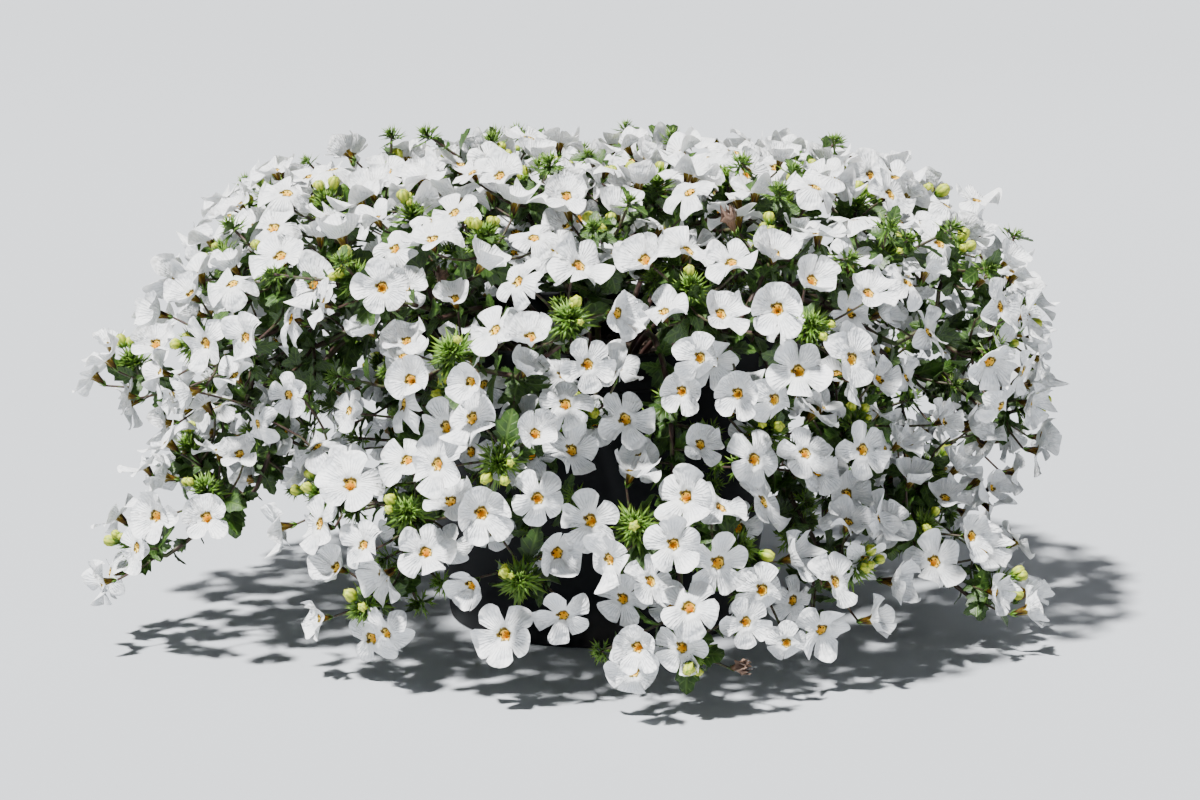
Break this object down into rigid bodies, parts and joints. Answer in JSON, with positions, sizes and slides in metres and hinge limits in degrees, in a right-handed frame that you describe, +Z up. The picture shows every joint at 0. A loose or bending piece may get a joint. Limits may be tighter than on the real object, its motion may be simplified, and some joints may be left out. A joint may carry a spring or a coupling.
{
  "type": "potted bacopa",
  "caption": "Trailing bedding plant in a plain round nursery pot: a wide, flat-topped mound of small white five-lobed blooms that arches over the rim and hides most of the pot.",
  "frame": {"origin": "centre of the underside of the pot's base, where it stands", "axes": "+Z up; the side that the picture shows looks along -Y; the long side branch reaches out along -X"},
  "size_m": [0.3709, 0.3165, 0.1842],
  "materials": {
    "pot": "matt moulded, nearly black",
    "soil": "crumbly dark potting mix",
    "plant": "soft white petals over dark green leaves and purple-brown stems"
  },
  "bodies": {
    "root": {"pot": "pot", "soil": "soil", "stem_01": "plant", "stem_02": "plant", "stem_03": "plant", "stem_04": "plant", "stem_05": "plant", "stem_06": "plant", "stem_07": "plant", "stem_08": "plant", "stem_09": "plant", "stem_10": "plant", "stem_11": "plant", "stem_12": "plant", "stem_13": "plant", "stem_14": "plant", "stem_15": "plant", "stem_16": "plant", "stem_17": "plant", "stem_18": "plant", "stem_19": "plant", "stem_20": "plant", "stem_21": "plant", "stem_22": "plant", "stem_23": "plant", "stem_24": "plant", "stem_25": "plant", "stem_26": "plant", "stem_27": "plant", "stem_28": "plant", "stem_29": "plant", "stem_30": "plant"}
  },
  "joints": []
}
